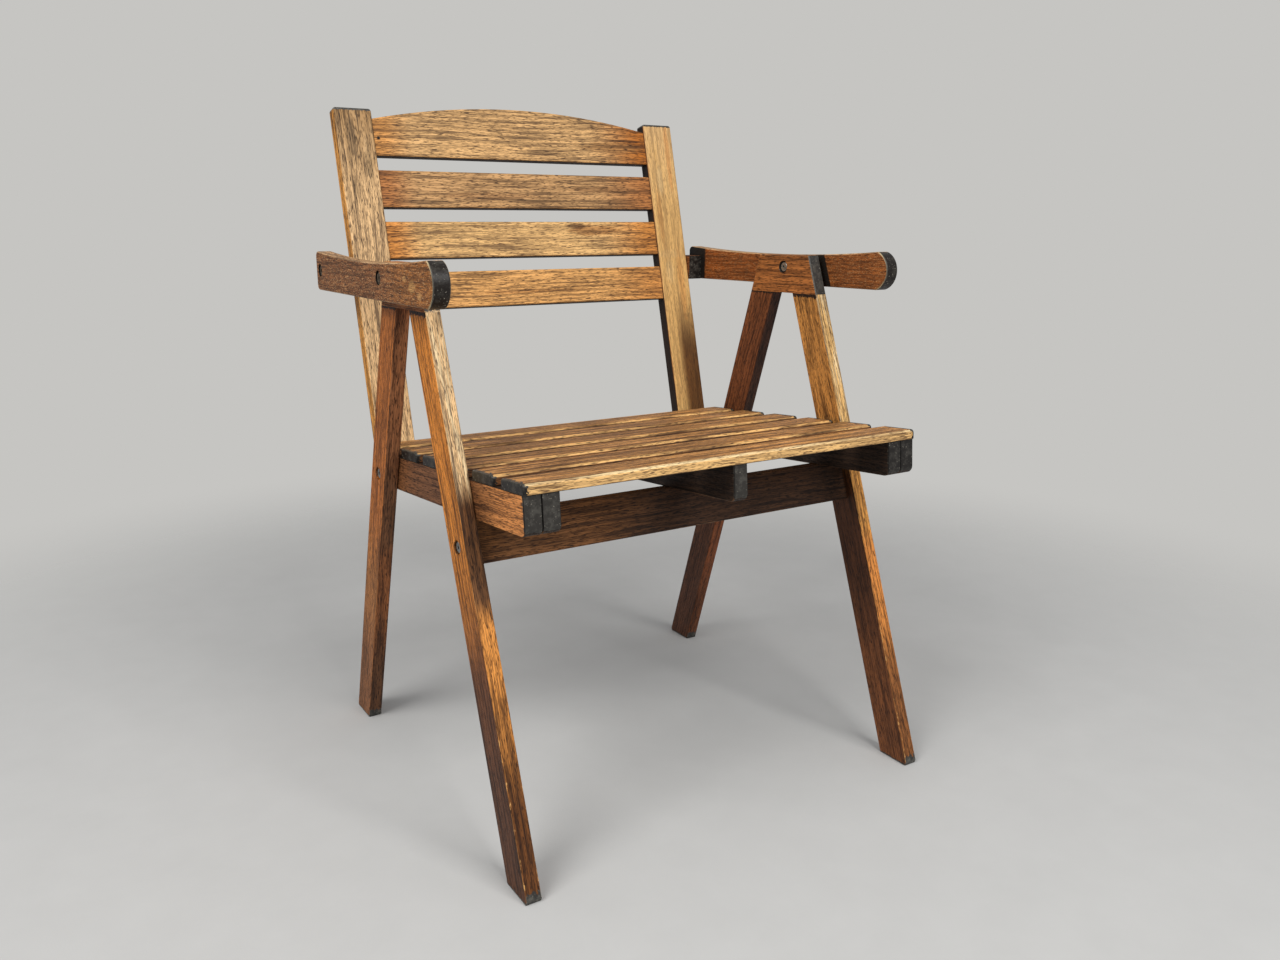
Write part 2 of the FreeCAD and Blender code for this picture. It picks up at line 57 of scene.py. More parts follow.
scene = bpy.context.scene
camera = bpy.data.objects.new("camera", bpy.data.cameras.new("camera"))
scene.collection.objects.link(camera)
camera.data.sensor_width = SENSOR_WIDTH
camera.data.lens = FOCAL_PIXELS / IMAGE_WIDTH * SENSOR_WIDTH
camera.matrix_world = camera_matrix(CAMERA_PLACE, HEADING, TILT, ROLL)
scene.camera = camera
print("lens in mm:", round(camera.data.lens, 2))

# %% [markdown]
# Colours are easiest to choose as hex values, as in any paint program, but shaders count in
# linear light. One function turns the first into the second. Another adds a node, sets it up,
# fills or links its inputs and gives back the output that the next node needs, so that a
# material reads from top to bottom like a recipe.

# %% Colour and node helpers
SOFT = "SMOOTHSTEP"


def linear(hex_colour):
    """An sRGB hex colour as linear red, green, blue and a full alpha."""
    values = [int(hex_colour[start:start + 2], 16) / 255 for start in (1, 3, 5)]
    return [v / 12.92 if v <= 0.04045 else ((v + 0.055) / 1.055) ** 2.4 for v in values] + [1.0]


def add(tree, kind, inputs=(), out=0, **settings):
    """Add a node. Inputs are values or sockets, in order or by key; settings go on the node."""
    node = tree.nodes.new("ShaderNode" + kind)
    for name, value in settings.items():
        setattr(node, name, value)
    keyed = inputs if isinstance(inputs, dict) else dict(enumerate(inputs))
    for key, value in keyed.items():
        if isinstance(value, bpy.types.NodeSocket):
            tree.links.new(value, node.inputs[key])
        else:
            node.inputs[key].default_value = value
    return node.outputs[out] if len(node.outputs) else node


def new_material(name):
    """An empty material: its tree, and the one shader that everything feeds."""
    material = bpy.data.materials.new(name)
    material.use_nodes = True
    tree = material.node_tree
    tree.nodes.clear()
    shader = add(tree, "BsdfPrincipled")
    add(tree, "OutputMaterial", [shader])
    return material, tree, shader.node


print("worn teak in linear light:", [round(v, 3) for v in linear("#c8a06c")])

# %% [markdown]
# The studio is a plain pale floor under an even pale sky. The floor could end in a curved
# backdrop, but then a camera behind the chair would look at its back. Here the floor fades out
# with distance instead. It is fine plaster: faint clouds of tone, and a rough, matt skin. Its
# real grains are under half a millimetre, too fine for this picture, so they are drawn 2 mm wide.

# %% Floor
FLOOR_REACH = 9.0
FADE_START, FADE_END = 0.75, 1.7
PLASTER_CLOUDS_PER_METRE = 14
PLASTER_GRAIN = 0.002
corners = [(x * FLOOR_REACH, y * FLOOR_REACH, 0) for x, y in ((-1, -1), (1, -1), (1, 1), (-1, 1))]
floor_mesh = bpy.data.meshes.new("floor")
floor_mesh.from_pydata(corners, [], [(0, 1, 2, 3)])
floor = bpy.data.objects.new("floor", floor_mesh)
scene.collection.objects.link(floor)

material, tree, shader = new_material("pale plaster floor")
place = add(tree, "TexCoord", out="Object")
clouds = add(tree, "TexNoise", {"Vector": place, "Scale": PLASTER_CLOUDS_PER_METRE, "Detail": 6,
                                "Roughness": 0.6})
tone = add(tree, "Mix", {0: clouds, 6: linear("#c2c1be"), 7: linear("#cac9c6")}, out=2, data_type="RGBA")
tree.links.new(tone, shader.inputs["Base Color"])
shader.inputs["Roughness"].default_value = 0.9
shader.inputs["Specular IOR Level"].default_value = 0.2
grains = add(tree, "TexNoise", {"Vector": place, "Scale": 1 / PLASTER_GRAIN, "Detail": 2})
grainy = add(tree, "Bump", {"Height": grains, "Strength": 0.25, "Distance": 0.0003})
tree.links.new(grainy, shader.inputs["Normal"])
distance = add(tree, "VectorMath", [place], out="Value", operation="LENGTH")
fade = add(tree, "MapRange", [distance, FADE_START, FADE_END], interpolation_type=SOFT)
faded = add(tree, "MixShader", [fade, shader.outputs[0], add(tree, "BsdfTransparent")])
tree.links.new(faded, tree.nodes["Material Output"].inputs["Surface"])
floor.data.materials.append(material)
print("floor reaches", FLOOR_REACH, "m each way and fades out by", FADE_END, "m")

# %% [markdown]
# What shows behind the faded floor is the world, in the same grey. Only the camera should see
# that grey, also through the clear part of the floor. The chair is lit by a weak, slightly cool
# sky instead, which fills the shadows.

# %% World
PAPER_GREY = "#c6c5c2"
SKY_TONE, SKY_STRENGTH = "#f4f6fa", 0.36
world = bpy.data.worlds.new("studio")
scene.world = world
world.use_nodes = True
tree = world.node_tree
tree.nodes.clear()
seen = add(tree, "LightPath", out="Is Camera Ray")
through = add(tree, "LightPath", out="Is Transmission Ray")
shown = add(tree, "Math", [seen, through], operation="MAXIMUM")
sky = add(tree, "Background", [linear(SKY_TONE), SKY_STRENGTH])
paper = add(tree, "Background", [linear(PAPER_GREY), 1.0])
add(tree, "OutputWorld", [add(tree, "MixShader", [shown, sky, paper])])
scene.view_settings.view_transform = "Standard"
print("sky", SKY_TONE, "at", SKY_STRENGTH, "behind it", PAPER_GREY)

# %% [markdown]
# Two large soft lamps light the chair, and its shadows on the floor tell where they hang: one
# high on the left, the other high in front. Area lamps give such soft shadows. Together with the
# sky they bring a level surface to about full brightness, so that a colour renders as written.

# %% Lamps
LAMP_SIDE = 1.6
LAMPS_AIM_AT = Vector((0, 0, 0.35))


def softbox(name, place, watts):
    """A square white area lamp that faces the chair."""
    lamp = bpy.data.lights.new(name, "AREA")
    lamp.size, lamp.energy = LAMP_SIDE, watts
    lamp_object = bpy.data.objects.new(name, lamp)
    lamp_object.location = place
    lamp_object.rotation_euler = (LAMPS_AIM_AT - Vector(place)).to_track_quat("-Z", "Y").to_euler()
    scene.collection.objects.link(lamp_object)


softbox("left lamp", (-2.15, -0.65, 2.65), 55)
softbox("front lamp", (0.25, -2.5, 2.45), 61)
print("lamps:", [lamp.name for lamp in bpy.data.lights])

# %% [markdown]
# Teak grain runs along a board, so each board needs its own directions: along the grain, across
# its width and through its thickness. The matrix of these three turns chair coordinates into
# board coordinates, and the corners of the board in them tell where its ends and edges are.

# %% Board directions


def lean(degrees_rearward):
    """A direction in the side view, leaning this far rearward from upright."""
    angle = math.radians(degrees_rearward)
    return Vector((0, math.sin(angle), math.cos(angle)))


SIDEWAYS, FORWARD, UP = Vector((1, 0, 0)), Vector((0, -1, 0)), Vector((0, 0, 1))
FRONT_LEG, REAR_LEG = lean(20.25), lean(-18.15)
FRONT_LEG_FACE, REAR_LEG_FACE = lean(-69.75), lean(-108.15)
SEAT_RUN, SEAT_UP = lean(95), lean(5)
BACK_RUN, BACK_FACE = lean(14.2), lean(-75.8)
ARM_RUN = lean(90.8)


def board_axes(run, thickness_axis):
    """The directions along, across and through a board, as rows."""
    across = thickness_axis.cross(run).normalized()
    return Matrix((run.normalized(), across, thickness_axis.normalized()))


def board_extent(name, axes):
    """Lowest and highest board coordinates of a node."""
    points = [axes @ vertex.co for vertex in nodes[name].data.vertices]
    low = Vector([min(p[i] for p in points) for i in range(3)])
    high = Vector([max(p[i] for p in points) for i in range(3)])
    return low, high


low, high = board_extent("front_leg_left", board_axes(FRONT_LEG, SIDEWAYS))
print("front leg, length, width, thickness in mm:", [round(1000 * v, 1) for v in high - low])

# %% [markdown]
# Teak is an oily golden-brown hardwood. Four things make its figure: growth rings that the saw
# cuts into long soft bands, dark fibre streaks about a millimetre wide, open pores that show
# as short dark dashes, and cloudy changes of tone over a hand's width. The real pores are 0.3 mm
# wide, too fine for this picture, so they are drawn 0.8 mm wide. A figure from 0, dark fibre, to 1,
# light wood, is worked out once per board. Every finish on that board then mixes its own dark
# and light tone by it. Each board sits elsewhere in the log, so that no two look alike.

# %% Teak figure
RING_SPACING = 0.0055  # metres
ONE_RING_AT_SCALE_1 = 0.314  # metres, the spacing that a wave texture of scale 1 draws
FIBRE_LONG, FIBRE_WIDE = 50, 0.9  # mm
PORE_LONG, PORE_WIDE = 9, 0.8  # mm
RING_SHARE, CLOUD_SHARE, BAND_SHARE, FIBRE_SHARE = 0.08, 0.30, 0.30, 0.75


class Board:
    """One board of the chair, and the teak that is built up on it in layers."""

    def __init__(self, name, run, thickness_axis):
        axes = board_axes(run, thickness_axis)
        low, high = board_extent(name, axes)
        self.name, self.axes, self.half = name, axes, (high - low) / 2
        self.material, self.tree, self.shader = new_material("oiled teak " + name.replace("_", " "))
        self.chair_place = add(self.tree, "TexCoord", out="Object")
        turn = {"Vector": self.chair_place, "Location": -(low + high) / 2, "Rotation": axes.to_euler()}
        self.place = add(self.tree, "Mapping", turn)
        self.normal = add(self.tree, "TexCoord", out="Normal")
        self.cut_from_log(1 + sorted(nodes).index(name))

    def streaks(self, along_mm, across_mm, detail=2.0, roughness=0.55):
        """Noise with blobs of this size along and across the grain."""
        scale = (1000 / along_mm, 1000 / across_mm, 1000 / across_mm)
        scaled = add(self.tree, "VectorMath", [self.in_log, scale], operation="MULTIPLY")
        return add(self.tree, "TexNoise", {"Vector": scaled, "Scale": 1.0, "Detail": detail,
                                           "Roughness": roughness})

    def cut_from_log(self, number):
        """Growth rings, fibres, pores and clouds of this board, and the figure that they make."""
        tree = self.tree
        # Each board lies further along the log, and at another distance from its heart.
        log_place = Vector((0.37 * number, 0.045 + 0.011 * (number % 5), 0.03 + 0.013 * (number % 7)))
        self.in_log = add(tree, "VectorMath", [self.place, log_place], operation="ADD")
        sway = add(tree, "MapRange", [self.streaks(220, 60, 1.0), 0, 1, -0.005, 0.005])
        bend = add(tree, "CombineXYZ", [0.0, sway, sway])
        self.in_log = add(tree, "VectorMath", [self.in_log, bend], operation="ADD")
        ring_look = {"Vector": self.in_log, "Scale": ONE_RING_AT_SCALE_1 / RING_SPACING, "Distortion": 1.2,
                     "Detail": 2.0, "Detail Scale": 0.6, "Detail Roughness": 0.6}
        rings = add(tree, "TexWave", ring_look, wave_type="RINGS", rings_direction="X", out="Fac")
        self.clouds = self.streaks(85, 20)
        bands = self.streaks(180, 5)
        fibres = self.streaks(FIBRE_LONG, FIBRE_WIDE, 3.0, 0.6)
        solid = 0.0
        for layer, share in ((rings, RING_SHARE), (self.clouds, CLOUD_SHARE), (bands, BAND_SHARE),
                             (fibres, FIBRE_SHARE)):
            solid = add(tree, "Math", [layer, share, solid], operation="MULTIPLY_ADD")
        solid = add(tree, "MapRange", [solid, 0.595, 0.79, 0.15, 1.0])
        pores = self.streaks(PORE_LONG, PORE_WIDE, 1.0)
        between_pores = add(tree, "MapRange", [pores, 0.53, 0.64, 1.0, 0.1], interpolation_type=SOFT)
        self.figure = add(tree, "Math", [solid, between_pores], operation="MULTIPLY")


print("fibres", FIBRE_LONG, "x", FIBRE_WIDE, "mm, pores", PORE_LONG, "x", PORE_WIDE, "mm")

# %% [markdown]
# The chair's life is laid over the figure, layer by layer. What a layer covers follows from the
# shape: the surface normal tells which way a face looks and where an edge is rounded, and the
# place along the board tells how far its ends are. Paint doesn't stop on a straight line, so the
# border of a painted end wanders by a millimetre or two. Wear and stains come in patches.

# %% Where a layer lies
BORDER_WAVES_PER_METRE = 230
HOLE_BORDER = 0.0012


def both(board, *masks):
    """Where all of these masks are 1."""
    joined = masks[0]
    for mask in masks[1:]:
        joined = add(board.tree, "Math", [joined, mask], operation="MULTIPLY")
    return joined


def looking(board, direction, start=0.55, full=0.85):
    """1 where the surface looks in a direction of the chair; start and full are cosines."""
    slope = add(board.tree, "VectorMath", [board.normal, direction], out="Value", operation="DOT_PRODUCT")
    return add(board.tree, "MapRange", [slope, start, full], interpolation_type=SOFT)


def rounded_edge(board):
    """1 on the rounded edges beside the broad faces, 0 on the faces."""
    slope = add(board.tree, "VectorMath", [board.normal, board.axes[2]], out="Value", operation="DOT_PRODUCT")
    squared = add(board.tree, "Math", [slope, 2.0], operation="POWER")
    rest = add(board.tree, "Math", [1.0, squared], operation="SUBTRACT")
    return add(board.tree, "MapRange", [both(board, squared, rest), 0.03, 0.2], interpolation_type=SOFT)


def past(board, start, full, ragged=0.0, axis="X", place=None):
    """0 before start and 1 after full, in metres along an axis; ragged makes the border wander."""
    along = add(board.tree, "SeparateXYZ", [place or board.place], out=axis)
    if ragged:
        waves = {"Vector": board.place, "Scale": BORDER_WAVES_PER_METRE, "Detail": 3}
        wander = add(board.tree, "MapRange", [add(board.tree, "TexNoise", waves), 0.3, 0.7, -ragged, ragged])
        along = add(board.tree, "Math", [along, wander], operation="ADD")
    return add(board.tree, "MapRange", [along, start, full], interpolation_type=SOFT)


def end_of(board, end, reach, ragged):
    """1 within reach of one end of the board, 1 or -1, with a wandering border."""
    border = end * (board.half[0] - reach)
    return past(board, border, border + end * 0.0006, ragged)


def around(board, fastener, radius):
    """1 in and around the hole of a bolt that goes through the chair sideways."""
    low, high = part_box(fastener)
    middle = [(a + b) / 2 for a, b in zip(low, high)]
    offset = add(board.tree, "VectorMath", [board.chair_place, middle], operation="SUBTRACT")
    offset = add(board.tree, "VectorMath", [offset, (0, 1, 1)], operation="MULTIPLY")
    distance = add(board.tree, "VectorMath", [offset], out="Value", operation="LENGTH")
    return add(board.tree, "MapRange", [distance, radius + HOLE_BORDER, radius], interpolation_type=SOFT)


def patches(board, along_mm, across_mm, start, full, strength=1.0, detail=2.0, roughness=0.55):
    """Ragged patches of this size, where their noise goes from start to full."""
    noise = board.streaks(along_mm, across_mm, detail, roughness)
    return add(board.tree, "MapRange", [noise, start, full, 0.0, strength], interpolation_type=SOFT)


MASKS = (both, looking, rounded_edge, past, end_of, around, patches)
print("masks:", [function.__name__ for function in MASKS])

# %% [markdown]
# Each finish is one tone. Its dark fibres have about a seventh of its light, and the wood
# between them is lighter and more golden, so one hex value per face is enough. Faces that sun
# reaches have turned golden; the hidden undersides get the dark brown of the first oiling,
# darkened further with painted shade. Ends are sealed with a dull black paint that is worn grey
# in patches of about 7 mm and has chips of about 2 mm. Rounded edges are rubbed to another tone,
# and stains and scuffs are single marks.

# %% What a layer looks like
DARK_FIBRE = (0.16, 0.125, 0.115)
LIGHT_WOOD = (1.86, 1.72, 1.44)
BRIGHTEST = 0.95  # the most light that bleached wood gives back
HIDDEN_BROWN_AND_SHADE = "#3c2616"
BLACK_PAINT = "#34322f"
WORN_PAINT, WORN_PAINT_DARK = "#605d55", "#4a463f"
PAINT_EDGE, PAINT_CHIP = "#625e55", "#8f897c"
WEAR_PER_METRE, CHIPS_PER_METRE = 150, 420


def wood(board, tone):
    """Teak of this mean tone, by the figure of the board."""
    dark = [a * b for a, b in zip(linear(tone), DARK_FIBRE)] + [1.0]
    light = [a * b for a, b in zip(linear(tone), LIGHT_WOOD)]
    light = [v * min(1.0, BRIGHTEST / max(light)) for v in light] + [1.0]
    return add(board.tree, "Mix", {0: board.figure, 6: dark, 7: light}, out=2, data_type="RGBA")


def cover(board, amount, tone, plain=False, roughness=None):
    """Lay teak of a tone, or a plain colour, over what the board has so far."""
    colour = linear(tone) if plain else wood(board, tone)
    board.colour = add(board.tree, "Mix", {0: amount, 6: board.colour, 7: colour}, out=2, data_type="RGBA")
    if roughness:
        board.roughness = add(board.tree, "Mix", {0: amount, 2: board.roughness, 3: roughness})


def seal(board, mask, paint=BLACK_PAINT, worn_tone=WORN_PAINT, edge_wear=0.55):
    """Black paint, worn grey in patches and on its edges, with chips."""
    wear = {"Vector": board.place, "Scale": WEAR_PER_METRE, "Detail": 5, "Roughness": 0.7}
    worn = add(board.tree, "MapRange", [add(board.tree, "TexNoise", wear), 0.45, 0.64, 0.0, 0.85],
               interpolation_type=SOFT)
    chipping = {"Vector": board.place, "Scale": CHIPS_PER_METRE, "Detail": 3, "Roughness": 0.6}
    chips = add(board.tree, "MapRange", [add(board.tree, "TexNoise", chipping), 0.64, 0.69],
                interpolation_type=SOFT)
    cover(board, mask, paint, plain=True, roughness=0.36)
    cover(board, both(board, mask, worn), worn_tone, plain=True, roughness=0.5)
    edge = add(board.tree, "Math", [rounded_edge(board), edge_wear], operation="MULTIPLY")
    cover(board, both(board, mask, edge), PAINT_EDGE, plain=True)
    cover(board, both(board, mask, chips), PAINT_CHIP, plain=True, roughness=0.7)
    bare = add(board.tree, "Math", [1.0, mask], operation="SUBTRACT")
    board.relief = both(board, board.relief, add(board.tree, "MapRange", [bare, 0.0, 1.0, 0.3, 1.0]))


def rub(board, tone, amount):
    """Rounded edges rubbed to a tone, here more and there less."""
    patchy = add(board.tree, "MapRange", [board.clouds, 0.38, 0.62, amount * 0.35, amount],
                 interpolation_type=SOFT)
    cover(board, both(board, rounded_edge(board), patchy), tone)


def mark(board, along_mm, across_mm, long_mm, wide_mm, tone, amount):
    """A stain or scuff with a ragged border, this far from the middle of the board."""
    middle = (along_mm / 1000, across_mm / 1000, 0)
    sizes = (1000 / long_mm, 1000 / wide_mm, 0)
    offset = add(board.tree, "VectorMath", [board.place, middle], operation="SUBTRACT")
    offset = add(board.tree, "VectorMath", [offset, sizes], operation="MULTIPLY")
    distance = add(board.tree, "VectorMath", [offset], out="Value", operation="LENGTH")
    ragged = add(board.tree, "Math", [board.streaks(12, 4, 3.0), 1.2, distance], operation="MULTIPLY_ADD")
    # The noise is 0.5 on average, so the stain fades out between 0.6 and 1.3 of its half size.
    inside = add(board.tree, "MapRange", [ragged, 1.9, 1.2, 0.0, amount], interpolation_type=SOFT)
    cover(board, inside, tone)


print("hidden faces keep", HIDDEN_BROWN_AND_SHADE, "and ends are sealed", BLACK_PAINT)

# %% [markdown]
# Every board starts as teak of one tone and ends as a material on its slot. Oiled wood shines
# a little where it is dense and less in its open pores, and the same figure gives the relief
# that fingers feel, half a millimetre deep at most. Some boards show less contrast than others,
# so a board can be calm: its figure is then pressed towards the middle.

# %% Start and finish of a board
RELIEF_DEPTH = 0.0005
OILED_WOOD_IOR = 1.45


def start_board(name, run, thickness_axis, tone, calm=0.0):
    """A board with teak of one tone all over; calm takes contrast out of the figure."""
    board = Board(name, run, thickness_axis)
    board.figure = add(board.tree, "MapRange", [board.figure, 0.0, 1.0, 0.6 * calm, 1 - 0.4 * calm])
    board.colour = wood(board, tone)
    board.roughness = add(board.tree, "MapRange", [board.figure, 0.0, 1.0, 0.62, 0.48])
    board.relief = add(board.tree, "MapRange", [board.figure, 0.0, 1.0, 0.0, 1.0])
    return board


def finish_board(board):
    """Feed the shader and put the material on the node."""
    bump = add(board.tree, "Bump", {"Height": board.relief, "Strength": 0.4, "Distance": RELIEF_DEPTH})
    links = {"Base Color": board.colour, "Roughness": board.roughness, "Normal": bump}
    for key, value in links.items():
        board.tree.links.new(value, board.shader.inputs[key])
    board.shader.inputs["IOR"].default_value = OILED_WOOD_IOR
    board.shader.inputs["Specular IOR Level"].default_value = 0.3
    nodes[board.name].data.materials.clear()
    nodes[board.name].data.materials.append(board.material)


print("relief in mm:", 1000 * RELIEF_DEPTH)

# %% [markdown]
# The legs changed most. Their sides are orange-brown under the arms. The darker tones beside and
# below the seat, and on the inner sides that face it, are painted shade of the seat. The faces
# that look forward have gone pale above the seat, and on the front legs sun has bleached them in
# streaks; on the left front leg the dark band beside the seat is a painted shadow of the seat. Low
# on the front legs the edges have bare nicks. Dirt sits in the glue line under the block, dirt and
# painted shade darken the bottom of the bolt recesses, and the soles were dipped in the same black
# paint as the ends. Each border is a pair of places along the leg, in metres from its middle: the
# tone starts at the first and is full at the second.

# %% Legs
HANDS = ("_left", "_right")
BLOCK_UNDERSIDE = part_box("leg_block_left")[0][2]
# Dirt and painted shade at the bottom of the bolt recesses.
BOLT_DIRT_AND_SHADE, BOLT_DIRT_AND_SHADE_RADIUS = "#4a3020", 0.0066
GLUE_DIRT_WIDTH = 0.0025
SIDE_BESIDE_SEAT, SIDE_BELOW_SEAT = (0.06, -0.12), (-0.06, -0.24)
FACE_BESIDE_SEAT, FACE_UNDER_SEAT, FACE_AT_FOOT = (0.125, 0.085), (-0.005, -0.045), (-0.1, -0.24)
INNER_SHADE = {"front_leg": (0.14, 0.04), "rear_leg": (0.06, -0.12)}
NICKS_BELOW = (-0.08, -0.2)
SOLE_PAINT, TOE_PAINT = (0.0026, 0.002), (0.012, 0.011)  # heights over the floor
# The darker side tones beside and below the seat, and on the inner sides, are painted shade of the seat.
SIDE_TONES_AND_SHADE = {  # above the seat, beside it and below
    "front_leg": {"outward": ("#c07a30", "#623a20", "#4d2d19"), "inward": ("#a8773f", "#4a2b18", "#6a4024")},
    "rear_leg": {"outward": ("#9f5f28", "#9a6738", "#7c502e"), "inward": ("#673c22", "#5a3622", "#543526")},
}
# The left front leg's dark tone beside the seat is a painted shadow of the seat.
FACE_TONES_AND_SHADOW = {  # above the seat, beside it, under it and at the foot
    "front_leg_left": ("#c8a982", "#5c3d24", "#b3793c", "#583518"),
    "front_leg_right": ("#cda870", "#c08a48", "#b6773c", "#7a4e2a"),
    "rear_leg_left": ("#83583d", "#6b4830", "#80502f", "#513522"),
    "rear_leg_right": ("#3a241a", "#4a2c1c", "#744329", "#5a3521"),
}


def dress_leg(leg, hand, run, face):
    """Outer side, inner side, face, and then dirt and paint."""
    outward = SIDEWAYS if hand == "_right" else -SIDEWAYS
    above, beside, below = SIDE_TONES_AND_SHADE[leg]["outward"]
    board = start_board(leg + hand, run, SIDEWAYS, above)
    # Darker beside and below the seat: painted shade of the seat.
    cover(board, past(board, *SIDE_BESIDE_SEAT), beside)
    cover(board, past(board, *SIDE_BELOW_SEAT), below)

    # Inner sides, which face the seat: darker tones, painted shade of the seat.
    above, beside, below = SIDE_TONES_AND_SHADE[leg]["inward"]
    inner = looking(board, -outward)
    cover(board, inner, above)
    cover(board, both(board, inner, past(board, *INNER_SHADE[leg])), beside)
    cover(board, both(board, inner, past(board, *SIDE_BELOW_SEAT)), below)

    above, beside, under, foot = FACE_TONES_AND_SHADOW[board.name]
    rub(board, under, 0.5)
    front = looking(board, face, 0.4, 0.75)
    cover(board, front, above)
    if leg == "front_leg":
        bleached = patches(board, 75, 2.6, 0.5, 0.6, strength=0.85)
        cover(board, both(board, front, bleached), "#e4d0ad")
    # Beside the seat: on the left front leg a painted shadow of the seat.
    cover(board, both(board, front, past(board, *FACE_BESIDE_SEAT)), beside)
    cover(board, both(board, front, past(board, *FACE_UNDER_SEAT)), under)
    cover(board, both(board, front, past(board, *FACE_AT_FOOT)), foot)
    if leg == "front_leg":
        nicks = patches(board, 7, 3, 0.55, 0.62, strength=0.9)
        cover(board, both(board, rounded_edge(board), nicks, past(board, *NICKS_BELOW)), "#c49a64")

    bolts = "stretcher_bolts" if leg == "front_leg" else "seat_pivot_bolts"
    # Dirt and painted shade at the bottom of the bolt recess.
    cover(board, around(board, bolts, BOLT_DIRT_AND_SHADE_RADIUS), BOLT_DIRT_AND_SHADE)
    dirt_starts = BLOCK_UNDERSIDE - GLUE_DIRT_WIDTH
    dirt = past(board, dirt_starts, dirt_starts + 0.001, 0.002, "Z", board.chair_place)
    for side in (outward, -outward):
        cover(board, both(board, dirt, looking(board, side)), "#2b1a10")
    seal(board, past(board, *SOLE_PAINT, 0.001, "Z", board.chair_place))
    seal(board, both(board, front, past(board, *TOE_PAINT, 0.003, "Z", board.chair_place)))
    finish_board(board)


for hand in HANDS:
    dress_leg("front_leg", hand, FRONT_LEG, FRONT_LEG_FACE)
    dress_leg("rear_leg", hand, REAR_LEG, REAR_LEG_FACE)
print("legs dressed:", len(FACE_TONES_AND_SHADOW))

# %% [markdown]
# The arms are touched most, so hands have darkened their oil to a deep red brown, mottled and
# full of small pale scratches, with three bare scuffs beside the left nose. The half-round noses
# and the rear ends are end grain, sealed black, and a thin line of bare wood shows where the
# paint ends. On the inner side, near-black bands in front of the block and at the spacer are
# painted shadows of the block and of the stile.

# %% Arms
ARM_PAINT, ARM_PAINT_WORN = "#211c18", "#3b3731"
ARM_LOOKS = {  # side, side near the nose, and how mottled
    "_left": ("#7b4d29", "#8f5a27", 0.85),
    "_right": ("#82491f", "#814c24", 0.45),
}
ARM_SCUFFS = {  # along and across from the middle, length and width in mm, tone, strength
    "_left": [(-150, -4, 9, 7, "#c79a62", 0.75), (-128, 3, 5, 3, "#b98f5e", 0.7),
              (-172, -13, 6, 4, "#c59763", 0.7)],
    "_right": [],
}
NEAR_NOSE = (-0.04, -0.14)
BLOCK_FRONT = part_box("leg_block_left")[0][1]
# Borders of a painted shadow of the block on the arm's inner side, and of one of the stile at the spacer.
BLOCK_SHADOW_AHEAD, BLOCK_SHADOW_BEHIND = (0.005, 0.003), (-0.014, -0.012)  # of the block's front
SPACER_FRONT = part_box("arm_spacer_left")[0][1]
SPACER_SHADOW_SPAN = (SPACER_FRONT - 0.012, SPACER_FRONT - 0.008)


def dress_arm(hand, tone, nose_tone, mottled):
    """Wood with its wear, then the painted ends, their bare rim and the painted shadows on the inner side."""
    board = start_board("arm" + hand, ARM_RUN, SIDEWAYS, tone, calm=0.25)
    cover(board, past(board, *NEAR_NOSE), nose_tone)
    cover(board, looking(board, UP, 0.5, 0.8), "#a8896a")
    cover(board, patches(board, 11, 3.5, 0.45, 0.62, mottled, detail=4.0, roughness=0.75), "#4f301c")
    cover(board, patches(board, 2.6, 1.1, 0.56, 0.63, mottled), "#b5926c")
    for scuff in ARM_SCUFFS[hand]:
        mark(board, *scuff)
    rub(board, "#b09373", 0.7)
    # Dirt and painted shade at the bottom of the bolt recess.
    cover(board, around(board, "arm_pivot_bolts", BOLT_DIRT_AND_SHADE_RADIUS), BOLT_DIRT_AND_SHADE)

    seal(board, looking(board, FORWARD, 0.2, 0.3), ARM_PAINT, ARM_PAINT_WORN)
    seal(board, looking(board, -FORWARD, 0.3, 0.5), ARM_PAINT, ARM_PAINT_WORN)
    past_rim = add(board.tree, "Math", [1.0, looking(board, FORWARD, 0.35, 0.55)], operation="SUBTRACT")
    rim = both(board, looking(board, FORWARD, 0.12, 0.3), past_rim, rounded_edge(board))
    cover(board, rim, "#bfa880", plain=True)

    block_corner = (0, BLOCK_FRONT, BLOCK_UNDERSIDE)
    from_block = add(board.tree, "VectorMath", [board.chair_place, block_corner], operation="SUBTRACT")
    ahead = add(board.tree, "VectorMath", [from_block, FRONT_LEG_FACE], out="Value", operation="DOT_PRODUCT")
    ahead = add(board.tree, "CombineXYZ", [ahead])
    # Near-black bands on the inner side: painted shadows of the block and of the stile.
    block_shadow = both(board, past(board, *BLOCK_SHADOW_AHEAD, 0.001, place=ahead),
                    past(board, *BLOCK_SHADOW_BEHIND, place=ahead))
    spacer_shadow = past(board, *SPACER_SHADOW_SPAN, 0.0015, "Y", board.chair_place)
    inner = looking(board, SIDEWAYS if hand == "_left" else -SIDEWAYS)
    for painted_shadow in (block_shadow, spacer_shadow):
        cover(board, both(board, inner, painted_shadow), "#1c1712", plain=True)
    finish_board(board)


for hand in HANDS:
    dress_arm(hand, *ARM_LOOKS[hand])
print("arms dressed:", len(HANDS), "scuffs:", sum(len(scuffs) for scuffs in ARM_SCUFFS.values()))

# %% [markdown]
# Two blocks carry the arms, and two spacers hold the arms' rear ends off the stiles. Hands reach
# them less, so their wood is plainer. Their front and rear are end grain, sealed black. The left
# block's front has lost its paint along the lower edge, and dirt with painted shade darkens the
# blocks' bolt holes.

